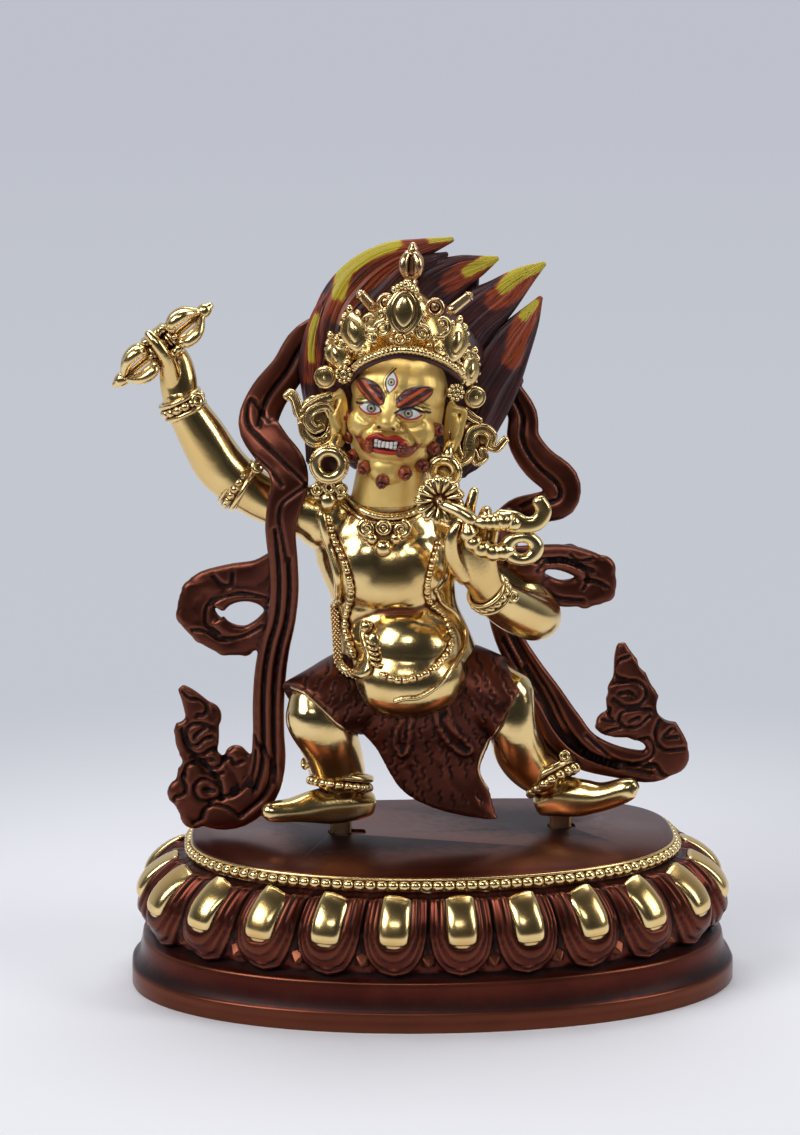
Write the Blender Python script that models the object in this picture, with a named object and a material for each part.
"""Wrathful thunderbolt-holder statue on a lotus plinth, as closed solids.

Origin: centre of the plinth's underside. +Z up, the face looks along -Y.
All sizes are in metres. The free form of the figure is written on its own
grid: one unit is FIGURE_HEIGHT / 161, counted from the middle of the plate,
x to the viewer's right, y to the back, z up.
"""
import bpy
import bmesh
import math
import numpy as np
from mathutils import Matrix, Vector
from mathutils.bvhtree import BVHTree

# Overall sizes
FIGURE_HEIGHT = 0.161
PLATE_TOP = 0.0395
PLINTH_WIDTH = 0.163
PLINTH_FRONT = 0.0497
PLINTH_BACK = 0.040
PLATE_WIDTH = 0.130
PLATE_FRONT = 0.040
PLATE_BACK = 0.036

# Plinth profile
FLANGE_HEIGHT = 0.0053
RIDGE_HEIGHT = 0.0130
PETAL_FOOT = 0.0158
PETAL_SHOULDER = 0.0326
NECK_HEIGHT = 0.0352
RIM_HEIGHT = 0.0373
PETAL_COUNT = 15
PETAL_PITCH = 0.0178
PETAL_START = 0.0043
COLUMNS_PER_PETAL = 5
BACK_COLUMNS = 18

# Tangs under the feet and the sockets they stand in
TANG_WIDTH = 0.0060
TANG_DEPTH = 0.0044
TANG_LENGTH = 0.0080
SOCKET_CLEARANCE = 0.0004
TANG_PLACES = ((-0.0248, 0.0045, 0.0034), (0.0350, 0.0070, 0.0007))

# Fit between pieces that touch
PIECE_GAP = 0.00035

# Triangles aimed at
FIGURE_TRIANGLES = 4200
SCARF_TRIANGLES = 1480
LASSO_TRIANGLES = 420

UNIT = FIGURE_HEIGHT / 161.0
FRONT = (0.0, -1.0, 0.0)

# Scarf band
BAND_THICK = 1.7
SCARF_STEP = 3


def clear_scene():
    for item in list(bpy.data.objects):
        bpy.data.objects.remove(item, do_unlink=True)
    for item in list(bpy.data.meshes):
        bpy.data.meshes.remove(item)


def material(name, colour, metallic, roughness):
    made = bpy.data.materials.new(name)
    made.use_nodes = True
    shader = made.node_tree.nodes["Principled BSDF"]
    shader.inputs["Base Color"].default_value = (*colour, 1.0)
    shader.inputs["Metallic"].default_value = metallic
    shader.inputs["Roughness"].default_value = roughness
    return made


def smooth_run(stops, per_span):
    """Points on one smooth curve through the stops."""
    stops = [np.array(stop, float) for stop in stops]
    padded = [2 * stops[0] - stops[1]] + stops + [2 * stops[-1] - stops[-2]]
    run = []
    for i in range(1, len(padded) - 2):
        a, b, c, d = padded[i - 1:i + 3]
        for k in range(per_span):
            t = k / per_span
            run.append(0.5 * (2 * b + (c - a) * t + (2 * a - 5 * b + 4 * c - d) * t * t
                              + (3 * b - a - 3 * c + d) * t ** 3))
    run.append(stops[-1])
    return run


def skin_rings(bm, frames, sides, section=None):
    """A ring carried from frame to frame and closed at both ends."""
    first = bmesh.ops.create_circle(bm, segments=sides, radius=1.0, cap_ends=True)
    ring = first["verts"]
    if section:
        for vert in ring:
            angle = math.atan2(vert.co.y, vert.co.x)
            vert.co = Vector((*section(angle), 0.0))
    bmesh.ops.transform(bm, matrix=frames[0], verts=ring)
    edges = [edge for edge in {e for v in ring for e in v.link_edges}]
    before = frames[0]
    for frame in frames[1:]:
        made = bmesh.ops.extrude_edge_only(bm, edges=edges)["geom"]
        verts = [item for item in made if isinstance(item, bmesh.types.BMVert)]
        rim = set(verts)
        edges = [item for item in made if isinstance(item, bmesh.types.BMEdge)
                 and item.verts[0] in rim and item.verts[1] in rim]
        bmesh.ops.transform(bm, matrix=frame @ before.inverted(), verts=verts)
        before = frame
    bmesh.ops.contextual_create(bm, geom=edges)


def sweep(bm, stops, sides=12, per_span=3, facing=None, section=None, domed=True):
    """A limb, cord or band: stops are x, y, z, half width and half thickness."""
    run = smooth_run(stops, per_span)
    sizes = []
    for stop in run:
        wide = max(stop[3], 0.15)
        sizes.append((wide, max(stop[4], 0.15) if len(stop) > 4 else wide))
    places = [Vector(stop[:3]) for stop in run]
    frames = []
    side = None
    last = len(run) - 1
    for i, place in enumerate(places):
        along = (places[min(i + 1, last)] - places[max(i - 1, 0)]).normalized()
        if facing:
            side = along.cross(Vector(facing)).normalized()
        elif side is None:
            side = along.orthogonal().normalized()
        else:
            side = (side - along * side.dot(along)).normalized()
        face = along.cross(side)
        turn = Matrix((side, face, along)).transposed()
        frames.append((place, turn, sizes[i]))
    made = []
    for index, (place, turn, size) in enumerate(frames):
        at_start = index == 0
        at_end = index == last
        along = turn.col[2]
        reach = min(size)
        caps = ((0.92, 0.40), (0.60, 0.80)) if domed else ()
        if at_start:
            for out, shrink in caps:
                made.append((place - along * reach * out, turn, (size[0] * shrink, size[1] * shrink)))
        made.append((place, turn, size))
        if at_end:
            for out, shrink in reversed(caps):
                made.append((place + along * reach * out, turn, (size[0] * shrink, size[1] * shrink)))
    matrices = [Matrix.Translation(place) @ turn.to_4x4() @ Matrix.Diagonal((size[0], size[1], 1, 1))
                for place, turn, size in made]
    skin_rings(bm, matrices, sides, section)


def stack(bm, levels, sides=20, per_span=3):
    """Level rings one above another: x, y, z, half width, half depth."""
    run = smooth_run(levels, per_span)
    frames = [Matrix.Translation(stop[:3]) @ Matrix.Diagonal((max(stop[3], 0.3), max(stop[4], 0.3), 1, 1))
              for stop in run]
    skin_rings(bm, frames, sides)


def ball(bm, place, radii, turn=None):
    frame = Matrix.Translation(place)
    if turn:
        frame = frame @ turn
    frame = frame @ Matrix.Diagonal((*radii, 1))
    bmesh.ops.create_uvsphere(bm, u_segments=18, v_segments=12, radius=1.0, matrix=frame)


def hoop(bm, place, axis, radius, wire, tall=1.0, steps=20):
    """A round hoop about an axis; tall stretches it along its own second axis."""
    turn = Vector((0, 0, 1)).rotation_difference(Vector(axis)).to_matrix().to_4x4()
    profile = bmesh.ops.create_circle(bm, segments=8, radius=wire,
                                      matrix=Matrix.Translation((radius, 0, 0)) @ Matrix.Rotation(math.pi / 2, 4, "X"))
    ring = profile["verts"]
    edges = list({e for v in ring for e in v.link_edges})
    before = set(bm.verts) - set(ring)
    bmesh.ops.spin(bm, geom=ring + edges, cent=(0, 0, 0), axis=(0, 0, 1), angle=2 * math.pi,
                   steps=steps, use_merge=True)
    grown = [v for v in bm.verts if v not in before]
    bmesh.ops.transform(bm, matrix=Matrix.Translation(place) @ turn @ Matrix.Diagonal((1, tall, 1, 1)),
                        verts=grown)


def drape(tree, route, lift, per_span=4):
    """Lays a route given as x, z on the front of a body."""
    placed = []
    for x, z in smooth_run(route, per_span):
        hit = tree.ray_cast(Vector((x, -70, z)), Vector((0, 1, 0)))
        y = hit[0].y if hit[0] else 0.0
        placed.append((x, y - lift, z))
    return placed


def torso_form(bm):
    """Broad chest, soft waist, full belly and thick neck."""
    stack(bm, ((-7, 2, 33.5, 9, 8), (-7, 1.5, 38, 16, 13), (-7, 1, 45, 20.5, 15), (-7.5, 0, 52, 19, 14.5),
               (-8.5, 0, 58, 17.6, 13), (-10, 0.5, 63.5, 16.6, 11.8), (-11, 0.5, 70, 16.8, 12),
               (-12, 0.5, 78, 17.6, 12.3), (-12.5, 0.5, 85, 16.6, 11), (-12.6, 0, 89.5, 12.5, 9.5),
               (-12.3, -1, 93, 9.6, 8.8), (-11.6, -3, 100, 9, 8.6), (-11, -4, 106, 8.5, 8.5)), sides=24)
    ball(bm, (-7.5, -5.5, 53), (15.5, 14, 14))
    ball(bm, (-19, -6.8, 78.5), (9.5, 6.2, 8.5))
    ball(bm, (-4.5, -6.8, 78), (9.5, 6.2, 8.5))
    ball(bm, (-29, 0.5, 87), (8.4, 8, 8))
    ball(bm, (3.4, 1.5, 82.5), (9, 8.5, 9))


def raised_arm_form(bm):
    """Arm lifted outwards with the fist that grips the thunderbolt."""
    sweep(bm, ((-27, 0.5, 87.5, 8), (-36, 0, 90.2, 7), (-45.6, 0, 93.6, 6.3), (-52.2, -0.5, 98.2, 6.6),
               (-56.9, -1, 103.1, 6.9), (-61.3, -2.5, 111, 6.3), (-64.6, -3.3, 116.8, 5.7),
               (-66.8, -3.8, 121, 5)), sides=14)
    sweep(bm, ((-66.8, -3.8, 121, 4.8, 4.2), (-67.4, -4, 126, 4.9, 3.8), (-67.8, -3.2, 130, 4.3, 3.4),
               (-68.6, -2, 133, 3.4, 2.8)), sides=12, facing=FRONT)
    along = Vector((0.77, 0, 0.64))
    up = Vector((-0.64, 0, 0.77))
    middle = Vector(VAJRA_MIDDLE)
    for k in (-1.2, 0.0, 1.2):
        route = []
        for degrees in (215, 170, 120, 70, 20, -25):
            angle = math.radians(degrees)
            place = middle + along * k * 2.5 + up * 3.7 * math.cos(angle) + Vector((0, 1, 0)) * 3.7 * math.sin(angle)
            route.append((*place, 1.7))
        sweep(bm, route, sides=8)
    sweep(bm, ((-69.0, -6.4, 127.4, 2.1), (-70.6, -9.2, 133.2, 2.0), (-72.6, -9.8, 136.8, 1.8),
               (-74.4, -8.8, 138.6, 1.5)), sides=8)


def lowered_arm_form(bm):
    """Arm bent before the chest with the hand that holds the lasso."""
    sweep(bm, ((2, 1.5, 83.5, 8.6), (9.5, 2, 78.5, 8), (17.8, 1.5, 71.4, 7.1), (24.5, -0.5, 65, 6.5),
               (28.2, -3, 61.2, 5.8), (26, -7.5, 61.6, 6.3), (20.5, -12.5, 65, 6.2), (15, -17.5, 69.2, 5.4),
               (12.5, -20.5, 72.5, 4.9)), sides=14)
    sweep(bm, ((12.5, -20.5, 72, 4.8, 4.6), (9.6, -24, 79, 5.8, 4.2), (8.6, -25.5, 84, 5.8, 3.6),
               (9.4, -26, 87.5, 4.6, 2.8)), sides=12, facing=FRONT)
    sweep(bm, ((6.2, -25.2, 77, 2.3), (3.2, -27.6, 82.6, 2.1), (2.5, -29.4, 87.4, 1.9), (3.8, -29.8, 91, 1.5)),
          sides=8)
    sweep(bm, ((7.4, -26, 85, 2.1), (7.4, -27.4, 93, 1.9), (8.2, -26.8, 99.6, 1.5)), sides=8)
    sweep(bm, ((10.2, -26, 85, 2.0), (10.8, -27.4, 92, 1.9), (11.0, -27.4, 95.8, 1.7)), sides=8)
    sweep(bm, ((12.8, -25.8, 83, 2.0), (13.6, -27.2, 89.4, 1.8), (13.8, -27.2, 92.6, 1.6)), sides=8)


def leg_forms(bm):
    """Striding legs: the knee to the viewer's left bent, the other nearly straight."""
    sweep(bm, ((-12, 1, 42, 12.4), (-22.6, -4, 41.8, 10.2), (-31, -9, 42.4, 7.8)), sides=14)
    sweep(bm, ((-34.2, -11, 43.2, 6.2), (-33.0, -11.5, 36.8, 8.1), (-29.3, -9, 31.2, 9.1), (-27, -5, 26, 8.9),
               (-25.7, -1.5, 20.4, 7.9), (-24.8, 0.5, 15, 7.2), (-23.8, 2, 11, 6.3)), sides=14)
    sweep(bm, ((-19.2, 4, 8.1, 4.0, 4.3), (-26, 0.5, 9.1, 4.2, 4.1), (-34, -3, 9.5, 3.1, 3.9),
               (-40, -5.8, 9.7, 2.2, 3.4), (-45, -8, 9.9, 1.8, 2.4)), sides=12, facing=FRONT)
    sweep(bm, ((-2, 1, 42, 12.4), (8, -1, 41.6, 10.8), (15, -4, 41, 8.9), (19.6, -7, 40.6, 7.0)), sides=14)
    sweep(bm, ((21.8, -8.5, 39.8, 5.4), (21.6, -8.5, 32.9, 6.4), (23.2, -5, 26, 7.7), (26, -1.5, 20.2, 7.5),
               (30.2, 1.5, 14.8, 6.8), (32, 3, 10.8, 5.9)), sides=14)
    sweep(bm, ((30.8, 4.5, 6.9, 3.9, 4.2), (36, 1.5, 9, 4.1, 4.1), (42, -2, 11, 2.9, 3.6),
               (48, -5.5, 13.4, 2.2, 3.0), (53.2, -7.5, 15.8, 2.0, 2.3)), sides=12, facing=FRONT)
    for (x, y, z), axis, radius in (((-24.9, 0.2, 15.6), (0.05, 0.1, 1.0), 7.3),
                                    ((30.4, 1.4, 14.4), (-0.5, 0.1, 0.86), 6.7)):
        hoop(bm, (x, y, z), axis, radius, 1.6)


def skirt_form(bm):
    """Pelt about the hips, over both thighs, with the tail hanging between the legs."""
    stack(bm, ((-6.5, 0.5, 36, 19, 13), (-6.5, 0, 42, 22, 16), (-7, 0, 48.5, 20.6, 15.2)), sides=20)
    sweep(bm, ((-14, 0, 42, 13), (-23, -4, 42, 11), (-30.5, -8, 42.6, 9.2)), sides=14, domed=False)
    sweep(bm, ((0, 0, 42, 13), (8.5, -1.5, 42, 11.4), (17.5, -5.5, 41.6, 8.8)), sides=14, domed=False)
    stack(bm, ((-4, -6, 41, 22, 9), (-3, -9, 34.5, 19.6, 5.5), (-1, -9, 27, 15.2, 3.2), (-0.3, -8.4, 20, 12.2, 2.4),
               (2.9, -8.6, 14.5, 11.6, 2.0), (6.8, -9.2, 10.6, 8.8, 1.8), (11.4, -9.8, 8.2, 5.0, 1.5),
               (15.4, -10.2, 7.1, 1.6, 1.1)), sides=20)


def head_frame():
    """Head set slightly askew: top leaning right, face turned a little left."""
    return (Matrix.Translation((-10.3, -3.5, 114.5)) @ Matrix.Rotation(math.radians(-9), 4, "Z")
            @ Matrix.Rotation(math.radians(6), 4, "Y"))


def head_form(bm):
    head = head_frame()
    ball(bm, head @ Vector((0, 1, 3)), (12.2, 12.6, 15))
    ball(bm, head @ Vector((0, -2.6, -4.6)), (11.3, 10.0, 8.8))
    ball(bm, head @ Vector((0, -12.2, -1.6)), (3.4, 3.2, 2.6))
    ball(bm, head @ Vector((-5.2, -8.6, -2.8)), (4.2, 4.0, 3.6))
    ball(bm, head @ Vector((5.2, -8.6, -2.8)), (4.2, 4.0, 3.6))
    for s in (-1, 1):
        sweep(bm, [(*(head @ Vector((s * 1.6, -11.2, 5.4))), 1.2), (*(head @ Vector((s * 5.5, -9.7, 7.8))), 1.3),
                   (*(head @ Vector((s * 9, -6.8, 7.6))), 0.9)], sides=8)
    for k in range(9):
        turn = math.radians(-104 + 26 * k)
        at = head @ Vector((10.2 * math.sin(turn), -2.5 - 7.6 * math.cos(turn * 0.86), -3.5 - 8.2 * math.cos(turn * 0.8)))
        ball(bm, at, (1.5, 1.9, 1.5))


def hair_form(bm):
    """Mane swept up and over to the viewer's right in pointed flame locks."""
    ball(bm, (-7, 5.5, 127), (22, 8.5, 20))
    locks = (
        ((-27, 6, 131, 6, 5), (-24.2, 7, 141.5, 6.6, 5), (-18.8, 8, 149.6, 6.2, 4.4), (-11.4, 9, 155.2, 4.6, 3.4),
         (-3.1, 9.5, 157.9, 2.8, 2.4), (5.1, 9.5, 160.3, 0.8, 0.8)),
        ((-6, 7, 140, 9, 5), (-1, 8, 147, 8, 4.4), (7, 8.5, 151.5, 5, 3), (12.3, 9, 153.2, 3, 2),
         (17, 9, 154.8, 0.8, 0.8)),
        ((2, 7, 130, 10, 5.5), (10, 7.5, 138.7, 8, 4.6), (18, 8, 145, 5.5, 3.4), (24, 8.5, 150, 3.2, 2.2),
         (29.5, 9, 153.4, 0.8, 0.8)),
        ((8, 6, 116, 10, 6), (14.5, 6.5, 124, 8.4, 5), (20.5, 7, 132, 6, 3.8), (25.2, 7.5, 139, 3.4, 2.4),
         (28.6, 8, 144.4, 0.8, 0.8)),
        ((-29.4, 4, 116, 4, 4), (-31.4, 5, 126.6, 4, 4), (-31.2, 5, 134, 3.2, 3), (-29.3, 5.5, 142.1, 2.2, 2),
         (-26.6, 6, 147.6, 0.8, 0.8)),
        ((0, 4, 114, 9, 7), (6, 6, 107.5, 7.5, 5.4), (10.4, 7, 101.5, 4.4, 3.6), (10.4, 7.4, 97.4, 1.6, 1.6)),
        ((-25, 4, 117, 7, 5), (-29.5, 5, 109.5, 4.6, 3.8), (-31.8, 5, 103.6, 1.8, 1.8)),
    )
    for lock in locks:
        sweep(bm, lock, sides=10, facing=FRONT)


def crown_form(bm):
    """Fluted band over the forehead with five jewelled leaves and the half thunderbolt finial."""
    sweep(bm, ((-23.6, -3, 125, 2.2, 1.6), (-20.3, -10.6, 130.9, 2.2, 1.6), (-15.6, -14.6, 134.2, 2.2, 1.6),
               (-9.6, -16, 135.6, 2.2, 1.6), (-3, -14.6, 134, 2.2, 1.6), (4.3, -10.6, 129.8, 2.2, 1.6),
               (9.3, -3, 123, 2.2, 1.6)), sides=10)
    leaves = ((-8.9, -15.5, 144.4, 6.4, 8.2, 0), (-21.4, -11, 138.2, 4.8, 7.8, -16), (4.8, -11, 135.6, 4.8, 7.6, 18),
              (-26.2, -4.2, 131.2, 3.6, 6.6, -24), (9.4, -4.2, 126.8, 3.6, 6.6, 26))
    for x, y, z, wide, tall, lean in leaves:
        turn = Matrix.Rotation(math.radians(lean), 4, "Y")
        ball(bm, (x, y, z), (wide, 2.3, tall * 0.82), turn)
        tip = Vector((x, y, z)) + turn @ Vector((0, 0, tall))
        ball(bm, tip, (1.5, 1.4, 2.0), turn)
    stack(bm, ((-8.2, 1, 138, 12, 9), (-7.4, 1, 145, 8, 7), (-6.9, 0, 148.6, 3.4, 3.4), (-6.2, 0, 151.4, 2.0, 2.0),
               (-5.9, 0, 153.4, 3.5, 3.5), (-5.7, 0, 156, 3.7, 3.7), (-5.6, 0, 158.2, 2, 2), (-5.6, 0, 159.8, 1.4, 1.4)),
          sides=12)


def ornament_form(bm):
    """Ear discs, hoop earrings and the scrolling ribbons beside the head."""
    for place, radius in (((-29.1, -4, 126.4), 3.1), ((-24.1, -7.4, 127.2), 2.6), ((4.6, -7.4, 121.8), 2.6),
                          ((9.1, -4, 118.6), 3.1)):
        ball(bm, place, (radius, 2.2, radius))
    hoop(bm, (-28.1, -9.4, 104.4), (0.15, -1, 0), 3.9, 1.7)
    sweep(bm, ((-22.5, -5, 117, 2), (-25.6, -7, 112.5, 2), (-27.6, -8.6, 108.6, 1.8)), sides=8)
    for x in (-31.2, -28.1, -25.0):
        ball(bm, (x, -9.4, 97.8), (1.8, 2.4, 1.8))
    ball(bm, (-28.6, -9.4, 94.8), (2.3, 3.2, 2.5))
    ball(bm, (-28.2, -5.8, 98), (3.6, 4.2, 6.0))
    hoop(bm, (2.5, -9.4, 102.4), (-0.1, -1, 0), 3.9, 1.7)
    sweep(bm, ((2.6, -4, 113, 2.6), (3.2, -7.4, 109, 2.2), (2.6, -9, 105.6, 1.8)), sides=8)
    ball(bm, (3.4, -6.0, 96), (3.2, 4.4, 5.5))
    sweep(bm, ((-24, -5.6, 121, 1.9), (-29.5, -6.4, 122.6, 2.0), (-33.5, -6, 120.5, 1.9), (-37.0, -5, 122.8, 1.8),
               (-36.6, -4.4, 125.8, 1.5)), sides=8)
    sweep(bm, ((-25, -5, 118, 2.2), (-30.5, -5.4, 115.6, 2.4), (-34.6, -4.6, 112.4, 2.2), (-32.4, -4.4, 107.4, 2.1),
               (-29.4, -5.2, 109.4, 1.7)), sides=8)
    sweep(bm, ((4, -5, 117, 2.2), (8.6, -5.2, 113.6, 2.4), (11, -4.6, 109.4, 2.2), (8.6, -4.8, 106, 1.8)), sides=8)
    sweep(bm, ((9, -4.6, 110, 1.9), (13.4, -4.4, 108.4, 1.9), (15.4, -4, 111.4, 1.8), (18.8, -3.6, 112.4, 1.5)), sides=8)


def chest_trim(bm, tree):
    """Necklace, bead strings and the snake laid over the body."""
    strings = (
        (((-23, 93), (-19.6, 89.8), (-14.5, 88), (-9.5, 87.8), (-4.5, 88.8), (-1, 91.6)), 1.5),
        (((-27.6, 91), (-25.6, 84), (-23.6, 77.5), (-22.4, 71), (-22.4, 64), (-22.6, 57.5), (-21.6, 52.6)), 1.2),
        (((1.6, 84), (0.2, 78), (-1.2, 71.5), (-0.4, 65.4), (3, 60.4), (5.6, 54.5), (3.6, 48.8), (-2.4, 45.4),
          (-10, 44), (-17, 44.6)), 1.4),
        (((-29.4, 90), (-28.4, 82), (-26.8, 74), (-26.6, 66), (-27, 58), (-26, 50.5), (-22.6, 46.2)), 1.7),
        (((4.4, 80), (2.4, 71), (4, 64.4), (8.4, 58), (9.4, 52), (6, 46.6), (0.6, 43), (-6, 40.4), (-10.6, 39.6)), 1.2),
    )
    for route, wire in strings:
        placed = drape(tree, route, wire * 0.35)
        sweep(bm, [(*place, wire) for place in placed], sides=8, per_span=1)
    placed = drape(tree, ((-22.6, 46.4), (-19, 50), (-18, 56.5), (-18.6, 60.6)), 0.6)
    sizes = (1.9, 2.0, 2.2, 2.5)
    picked = [placed[0], placed[4], placed[8], placed[-1]]
    sweep(bm, [(x, y - 0.4, z, size) for (x, y, z), size in zip(picked, sizes)], sides=8)
    for x, z, size in ((-14.2, 83.6, 2.8), (-18, 86.6, 2.2), (-10.2, 86.6, 2.2)):
        place = drape(tree, ((x, z), (x, z - 0.1)), 0.0)[0]
        ball(bm, place, (size, 1.6, size))


def arm_trim(bm):
    """Beaded bracelets and the armlet."""
    hoop(bm, (-66.3, -3.6, 119.6), (-0.36, -0.08, 0.93), 5.5, 1.6)
    hoop(bm, (-49.6, -0.2, 96.4), (-0.80, -0.06, 0.60), 6.5, 1.6)
    hoop(bm, (13.4, -19.2, 71), (-0.56, -0.56, 0.61), 5.2, 1.5)


def scarf_section(angle):
    """Flat band with rounded edges and one groove down its face."""
    across = math.cos(angle)
    thick = math.sin(angle)
    wide = math.copysign(abs(across) ** 0.8, across)
    deep = math.copysign(abs(thick) ** 0.55, thick)
    groove = 0.34 * math.exp(-(across / 0.26) ** 2) * (1 if abs(thick) > 0.2 else 0)
    return wide, deep - math.copysign(groove, deep)


SCARF_RUNS = (
    ((21.6, 9.5, 120.5, 3.6), (17.5, 14.8, 127, 4.2), (9.3, 17.5, 132.6, 4.6), (-6.7, 18.4, 137.2, 5.0),
     (-22.8, 17, 136.6, 4.8), (-33, 12, 133.5, 4.6), (-38.2, 7, 126.4, 4.8), (-43.6, 3, 120.2, 5.2),
     (-46.4, -1.5, 113.8, 5.4), (-43.6, -5.5, 108.6, 5.4), (-39.4, -7.8, 103.6, 5.2), (-38.6, -9, 98.6, 5.0),
     (-40, -9.2, 93, 4.6), (-41, -8.4, 86.5, 4.1), (-40.3, -6.6, 78, 3.9), (-40, -5, 69.4, 3.9),
     (-40.7, -3, 60.8, 3.8), (-42.4, -1, 53.5, 4.1), (-43.6, 0, 46, 4.3), (-44.2, 1, 37, 4.3), (-44.2, 2, 28.5, 4.3),
     (-44.4, 2.5, 20.4, 4.8), (-46.6, 3, 12.4, 5.0), (-52.4, 3.5, 6.9, 4.8), (-59.4, 4, 6.7, 4.9),
     (-64.6, 4, 11, 4.6), (-63.8, 4, 18.8, 4.7), (-62.6, 4, 26.4, 5.2), (-62.4, 4, 33, 4.4), (-65.0, 4, 38, 2.6),
     (-67.6, 4, 41.2, 1.1)),
    ((-40.4, -3.4, 78, 3.0), (-46.5, -1, 73.6, 3.4), (-54, 1, 72, 3.4), (-61.6, 2, 68.6, 4.2),
     (-62.6, 2, 62.8, 4.2), (-58.6, 2, 56.6, 4.0), (-52, 1.4, 54.2, 3.8), (-46, 0, 57.2, 3.4),
     (-41.4, -1.4, 63, 2.8)),
    ((-47, 3.4, 12, 3.6), (-50.6, 4, 18.4, 3.8), (-54.4, 4, 22.4, 3.2)),
    ((-66.5, 4, 30, 3.0), (-64.6, 4, 24.6, 4.0), (-57.6, 4, 16.6, 4.2), (-56.4, 4, 10.6, 4.4)),
    ((20.6, 9.5, 120, 3.4), (24.2, 8.6, 113.4, 4.0), (24.4, 7, 107, 4.4), (28.2, 5.6, 101, 4.8),
     (34.2, 4.6, 95.8, 5.0), (34.2, 4.2, 90.4, 4.4), (28.4, 5.6, 88.6, 4.2), (22.6, 9, 86.6, 3.8),
     (18.4, 11, 81, 3.6), (17, 11.8, 73, 3.6), (18, 10, 63, 3.6), (20.4, 6.4, 53.6, 3.8), (24.9, 5, 45, 4.4),
     (30, 4.6, 36.4, 5.4), (34.6, 4.4, 28, 6.4), (41, 4.2, 21.8, 5.4), (50.4, 4, 18.4, 4.4), (59.6, 4, 17.2, 4.6),
     (65.2, 4, 20.6, 4.4), (61.4, 4, 27, 5.2), (55.6, 4, 31.8, 7.2), (53.4, 4, 37.4, 6.8), (53, 4, 42.6, 4.6),
     (51.4, 4, 48, 2.6), (50.8, 4, 51.6, 1.1)),
    ((22, 7.6, 86, 3.0), (19.6, 1.5, 82.4, 3.2), (19.4, -6.5, 78, 3.4), (26.6, -5, 77.4, 3.4), (34.6, -0.6, 76.2, 3.6),
     (42.6, 1.6, 72.2, 4.2), (41.6, 1.6, 67.4, 4.2), (34, 1, 66.2, 3.7), (27.8, -1, 69.4, 3.4), (25.6, -5.4, 73.6, 3.0),
     (22.4, -6.5, 76, 3.0)),
    ((58, 4, 29, 3.4), (49.4, 4, 28.4, 3.0), (45, 4, 30.4, 2.6)),
    ((60, 4, 18, 4.0), (63, 4, 22.5, 4.6), (60, 4, 27, 4.4)),
)

VAJRA_MIDDLE = (-71.3, -6.0, 135.5)
VAJRA_TURN = 39.6
VAJRA_PROFILE = ((0.0, 1.7), (1.4, 1.5), (2.4, 2.6), (3.4, 2.1), (4.4, 3.7), (6.6, 5.0), (8.8, 4.7), (10.6, 3.2),
                 (11.9, 1.6), (13.2, 1.9), (14.8, 1.7), (16.1, 0.7))


def to_object(bm, name):
    mesh = bpy.data.meshes.new(name)
    bm.normal_update()
    bm.to_mesh(mesh)
    bm.free()
    made = bpy.data.objects.new(name, mesh)
    bpy.context.scene.collection.objects.link(made)
    return made


def baked(item, name):
    """The mesh with its modifiers worked in, replacing the object."""
    graph = bpy.context.evaluated_depsgraph_get()
    mesh = bpy.data.meshes.new_from_object(item.evaluated_get(graph))
    made = bpy.data.objects.new(name, mesh)
    bpy.context.scene.collection.objects.link(made)
    bpy.data.objects.remove(item, do_unlink=True)
    made.name = name
    return made


def fused(item, name, voxel, rounds, triangles):
    """Melts overlapping forms into one skin, softens it and brings it down to a triangle count."""
    skin = item.modifiers.new("skin", "REMESH")
    skin.mode = "VOXEL"
    skin.voxel_size = voxel
    soft = item.modifiers.new("soft", "SMOOTH")
    soft.factor = 0.5
    soft.iterations = rounds
    item = baked(item, name)
    item.data.calc_loop_triangles()
    count = len(item.data.loop_triangles)
    fewer = item.modifiers.new("fewer", "DECIMATE")
    fewer.ratio = min(1.0, triangles / count)
    item = baked(item, name)
    tidy(item, 0.02)
    return item


def tidy(item, merge):
    """Keeps the one main shell, drops slivers and leaves triangles only."""
    bm = bmesh.new()
    bm.from_mesh(item.data)
    bmesh.ops.remove_doubles(bm, verts=bm.verts, dist=merge)
    bmesh.ops.dissolve_degenerate(bm, edges=bm.edges, dist=merge)
    bmesh.ops.triangulate(bm, faces=bm.faces)
    bm.verts.ensure_lookup_table()
    groups = []
    seen = set()
    for start in bm.verts:
        if start.index in seen:
            continue
        seen.add(start.index)
        queue = [start]
        for vert in queue:
            for edge in vert.link_edges:
                other = edge.other_vert(vert)
                if other.index not in seen:
                    seen.add(other.index)
                    queue.append(other)
        groups.append(queue)
    groups.sort(key=len)
    dropped = [vert for group in groups[:-1] for vert in group]
    print(item.name, "shells", len(groups), "dropped verts", len(dropped))
    bmesh.ops.delete(bm, geom=dropped, context="VERTS")
    bmesh.ops.recalc_face_normals(bm, faces=bm.faces)
    bm.to_mesh(item.data)
    bm.free()


def joined_with(item, other, operation, name, merge=0.01):
    rule = item.modifiers.new("fit", "BOOLEAN")
    rule.operation = operation
    rule.solver = "EXACT"
    rule.object = other
    item = baked(item, name)
    tidy(item, merge)
    return item


def swollen(item, gap, name):
    """A guide copy grown outwards by the gap."""
    mesh = item.data.copy()
    for place, normal in [(v, v.normal.copy()) for v in mesh.vertices]:
        place.co = place.co + normal * gap
    made = bpy.data.objects.new(name, mesh)
    bpy.context.scene.collection.objects.link(made)
    return made


def dropped_guide(item):
    mesh = item.data
    bpy.data.objects.remove(item, do_unlink=True)
    bpy.data.meshes.remove(mesh)


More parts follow.
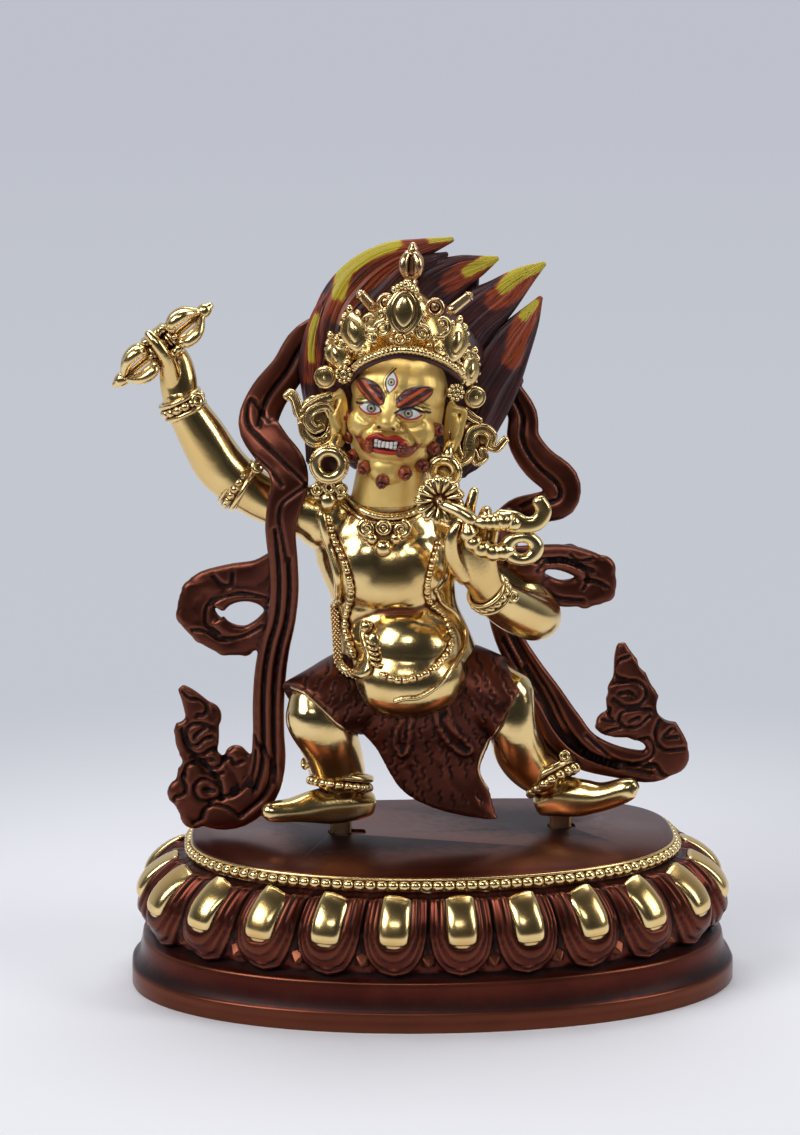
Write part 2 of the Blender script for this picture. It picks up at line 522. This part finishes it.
def plan_point(turn, width, front, back):
    """Plan outline: oval in front, nearly straight behind with rounded corners."""
    across = math.sin(turn)
    along = math.cos(turn)
    power = 2.1 if along > 0 else 3.3
    depth = front if along > 0 else back
    x = width * math.copysign(abs(across) ** (2 / power), across)
    y = -depth * math.copysign(abs(along) ** (2 / power), along)
    return x, y


def plinth_columns():
    """Turns of the columns round the plan and where each stands on its petal."""
    half = (PLINTH_WIDTH + PLATE_WIDTH) / 4 + 0.004
    front = (PLINTH_FRONT + PLATE_FRONT) / 2 + 0.001
    back = (PLINTH_BACK + PLATE_BACK) / 2
    turns = np.linspace(0, 2 * math.pi, 4001)
    points = np.array([plan_point(t, half, front, back) for t in turns])
    walked = np.concatenate(([0], np.cumsum(np.hypot(*np.diff(points, axis=0).T))))
    whole = walked[-1]
    start = PETAL_START - PETAL_COUNT / 2 * PETAL_PITCH
    places = []
    for k in range(PETAL_COUNT * COLUMNS_PER_PETAL):
        across = (k % COLUMNS_PER_PETAL) / COLUMNS_PER_PETAL * 2 - 1
        places.append((start + k * PETAL_PITCH / COLUMNS_PER_PETAL, across, True))
    rest = whole - PETAL_COUNT * PETAL_PITCH
    for k in range(BACK_COLUMNS):
        places.append((start + PETAL_COUNT * PETAL_PITCH + rest * k / BACK_COLUMNS, 1.0, False))
    return [(float(np.interp(place % whole, walked, turns)), across, petal) for place, across, petal in places]


def build_plinth():
    levels = (
        (0.00, 0.0, 0.00, 0.0),
        (0.00, FLANGE_HEIGHT, 0.00, FLANGE_HEIGHT),
        (0.09, FLANGE_HEIGHT + 0.0012, 0.09, FLANGE_HEIGHT + 0.0012),
        (0.18, RIDGE_HEIGHT - 0.0028, 0.18, RIDGE_HEIGHT - 0.0028),
        (0.19, RIDGE_HEIGHT, 0.19, RIDGE_HEIGHT),
        (0.46, PETAL_FOOT - 0.0008, 0.46, PETAL_FOOT - 0.0008),
        (0.34, PETAL_FOOT + 0.0004, 0.46, PETAL_FOOT + 0.0024),
        (0.19, 0.0206, 0.38, 0.0214),
        (0.30, 0.0272, 0.46, 0.0272),
        (0.62, PETAL_SHOULDER, 0.70, PETAL_SHOULDER),
        (0.97, NECK_HEIGHT, 0.97, NECK_HEIGHT),
        (0.89, RIM_HEIGHT, 0.89, RIM_HEIGHT),
        (1.00, PLATE_TOP, 1.00, PLATE_TOP),
    )
    columns = plinth_columns()
    bm = bmesh.new()
    ring = bmesh.ops.create_circle(bm, segments=len(columns), radius=0.05, cap_ends=True)["verts"]
    edges = list({e for v in ring for e in v.link_edges})
    for level, (petal_in, petal_z, plain_in, plain_z) in enumerate(levels):
        if level:
            made = bmesh.ops.extrude_edge_only(bm, edges=edges)["geom"]
            fresh = {v for v in made if isinstance(v, bmesh.types.BMVert)}
            edges = [e for e in made if isinstance(e, bmesh.types.BMEdge)
                     and e.verts[0] in fresh and e.verts[1] in fresh]
            following = {}
            for vert in ring:
                following[vert] = next(e.other_vert(vert) for e in vert.link_edges if e.other_vert(vert) in fresh)
            ring = [following[vert] for vert in ring]
        for vert, (turn, across, petal) in zip(ring, columns):
            swell = (1 - abs(across) ** 2.4) if petal else 0.0
            inset = plain_in + (petal_in - plain_in) * swell
            height = plain_z + (petal_z - plain_z) * swell
            outer = plan_point(turn, PLINTH_WIDTH / 2, PLINTH_FRONT, PLINTH_BACK)
            inner = plan_point(turn, PLATE_WIDTH / 2, PLATE_FRONT, PLATE_BACK)
            vert.co = Vector((outer[0] + (inner[0] - outer[0]) * inset,
                              outer[1] + (inner[1] - outer[1]) * inset, height))
    bmesh.ops.contextual_create(bm, geom=edges)
    bmesh.ops.recalc_face_normals(bm, faces=bm.faces)
    return to_object(bm, "lotus_base")


def rounded_bar(width, depth, low, high, x, y, name):
    """Upright bar of rounded-rectangle plan, for a tang or its socket."""
    bm = bmesh.new()
    frames = [Matrix.Translation((x, y, z)) @ Matrix.Diagonal((width / 2, depth / 2, 1, 1)) for z in (low, high)]
    skin_rings(bm, frames, 16, lambda angle: (math.copysign(abs(math.cos(angle)) ** 0.5, math.cos(angle)),
                                              math.copysign(abs(math.sin(angle)) ** 0.5, math.sin(angle))))
    bmesh.ops.recalc_face_normals(bm, faces=bm.faces)
    return to_object(bm, name)


def build_figure():
    body = bmesh.new()
    torso_form(body)
    tree = BVHTree.FromBMesh(body)
    raised_arm_form(body)
    lowered_arm_form(body)
    leg_forms(body)
    skirt_form(body)
    head_form(body)
    hair_form(body)
    crown_form(body)
    ornament_form(body)
    chest_trim(body, tree)
    arm_trim(body)
    return fused(to_object(body, "figure_form"), "figure", 0.55, 2, FIGURE_TRIANGLES)


def build_vajra():
    """Double-ended thunderbolt: one turned profile with four swelling prongs at each end."""
    bm = bmesh.new()
    half = list(VAJRA_PROFILE)
    profile = [(-along, radius) for along, radius in reversed(half[1:])] + half
    frames = []
    for along, radius in profile:
        frames.append(Matrix.Translation((0, 0, along)) @ Matrix.Diagonal((radius, radius, 1, 1)))
    skin_rings(bm, frames, 8, lambda angle: ((0.88 + 0.12 * math.cos(4 * angle)) * math.cos(angle),
                                             (0.88 + 0.12 * math.cos(4 * angle)) * math.sin(angle)))
    lean = (Matrix.Translation(VAJRA_MIDDLE) @ Matrix.Rotation(math.radians(90 - VAJRA_TURN), 4, "Y"))
    bmesh.ops.transform(bm, matrix=lean, verts=bm.verts)
    bmesh.ops.triangulate(bm, faces=bm.faces)
    bmesh.ops.recalc_face_normals(bm, faces=bm.faces)
    return to_object(bm, "vajra")


def build_lasso():
    bm = bmesh.new()
    flutes = 12
    disc = Matrix.Translation((-0.5, -27.2, 98)) @ Matrix.Rotation(math.radians(90), 4, "X")
    frames = [disc @ Matrix.Translation((0, 0, z)) @ Matrix.Diagonal((r, r, 1, 1))
              for z, r in ((-1.4, 5.0), (-0.6, 6.5), (0.6, 6.6), (1.3, 5.2), (1.5, 3.0))]
    skin_rings(bm, frames, flutes * 4, lambda angle: ((0.95 + 0.05 * math.cos(flutes * angle)) * math.cos(angle),
                                                      (0.95 + 0.05 * math.cos(flutes * angle)) * math.sin(angle)))
    ball(bm, (-0.3, -28.6, 97.4), (2.2, 1.4, 2.2))
    sweep(bm, ((0.5, -28.2, 96.8, 1.8), (4.2, -30.6, 95.6, 1.8), (7.4, -31.8, 93.6, 1.9), (12.4, -31.8, 92.6, 2.1),
               (16.8, -31.8, 93.2, 2.3), (19.8, -31.8, 91.6, 1.9), (22.8, -31.8, 90.9, 1.9), (25.7, -31.8, 92.9, 1.9),
               (26.7, -31.8, 95.8, 1.6), (24.9, -31.8, 98.0, 1.1)), sides=10)
    sweep(bm, ((6.4, -31.9, 92.2, 1.8), (7.2, -31.9, 88.8, 2.0), (9.6, -31.9, 86.2, 2.2), (14.6, -31.9, 84.9, 2.2),
               (17.2, -31.8, 85.2, 2.0)), sides=10)
    hoop(bm, (20.6, -31.8, 85.8), FRONT, 4.2, 1.7, tall=0.78)
    return fused(to_object(bm, "lasso_form"), "lasso", 0.4, 1, LASSO_TRIANGLES)


def build_scarf():
    bm = bmesh.new()
    for run in SCARF_RUNS:
        stops = [(x, y, z, half, BAND_THICK if half > 1.8 else half * 0.8) for x, y, z, half in run]
        sweep(bm, stops, sides=16, per_span=SCARF_STEP, facing=FRONT, section=scarf_section, domed=False)
    return fused(to_object(bm, "scarf_form"), "scarf", 0.5, 1, SCARF_TRIANGLES)


def place_on_plate(item):
    """From the figure's grid to metres, standing on the plate."""
    for vert in item.data.vertices:
        vert.co = Vector(vert.co) * UNIT + Vector((0, 0, PLATE_TOP))


def finish(item, made_material):
    item.data.materials.clear()
    item.data.materials.append(made_material)
    bpy.ops.object.select_all(action="DESELECT")
    item.select_set(True)
    bpy.context.view_layer.objects.active = item
    bpy.ops.object.shade_smooth_by_angle(angle=math.radians(38))
    item.data.calc_loop_triangles()
    print(item.name, "triangles", len(item.data.loop_triangles))


def main():
    clear_scene()
    gilt = material("gilt_copper", (0.80, 0.58, 0.24), 1.0, 0.25)
    copper = material("dark_copper", (0.16, 0.05, 0.03), 0.6, 0.4)
    lacquer = material("red_brown_copper", (0.14, 0.03, 0.02), 0.5, 0.3)

    gap = PIECE_GAP / UNIT
    vajra = build_vajra()
    lasso = build_lasso()
    figure = build_figure()
    guide = swollen(vajra, gap, "guide_vajra")
    figure = joined_with(figure, guide, "DIFFERENCE", "figure")
    dropped_guide(guide)
    guide = swollen(lasso, gap, "guide_lasso")
    figure = joined_with(figure, guide, "DIFFERENCE", "figure")
    dropped_guide(guide)

    scarf = build_scarf()
    guide = swollen(figure, gap, "guide_figure")
    scarf = joined_with(scarf, guide, "DIFFERENCE", "scarf")
    dropped_guide(guide)

    for item in (vajra, lasso, figure, scarf):
        place_on_plate(item)

    plinth = build_plinth()
    for x, y, slack in TANG_PLACES:
        tang = rounded_bar(TANG_WIDTH, TANG_DEPTH, PLATE_TOP - TANG_LENGTH, PLATE_TOP + 0.0085, x, y, "tang")
        figure = joined_with(figure, tang, "UNION", "figure", merge=0.000005)
        dropped_guide(tang)
        socket = rounded_bar(TANG_WIDTH + 2 * SOCKET_CLEARANCE + slack, TANG_DEPTH + 2 * SOCKET_CLEARANCE,
                             PLATE_TOP - TANG_LENGTH - SOCKET_CLEARANCE, PLATE_TOP + 0.002,
                             x + slack / 2, y, "socket")
        plinth = joined_with(plinth, socket, "DIFFERENCE", "lotus_base", merge=0.000005)
        dropped_guide(socket)

    finish(plinth, lacquer)
    finish(figure, gilt)
    finish(scarf, copper)
    finish(vajra, gilt)
    finish(lasso, gilt)


main()
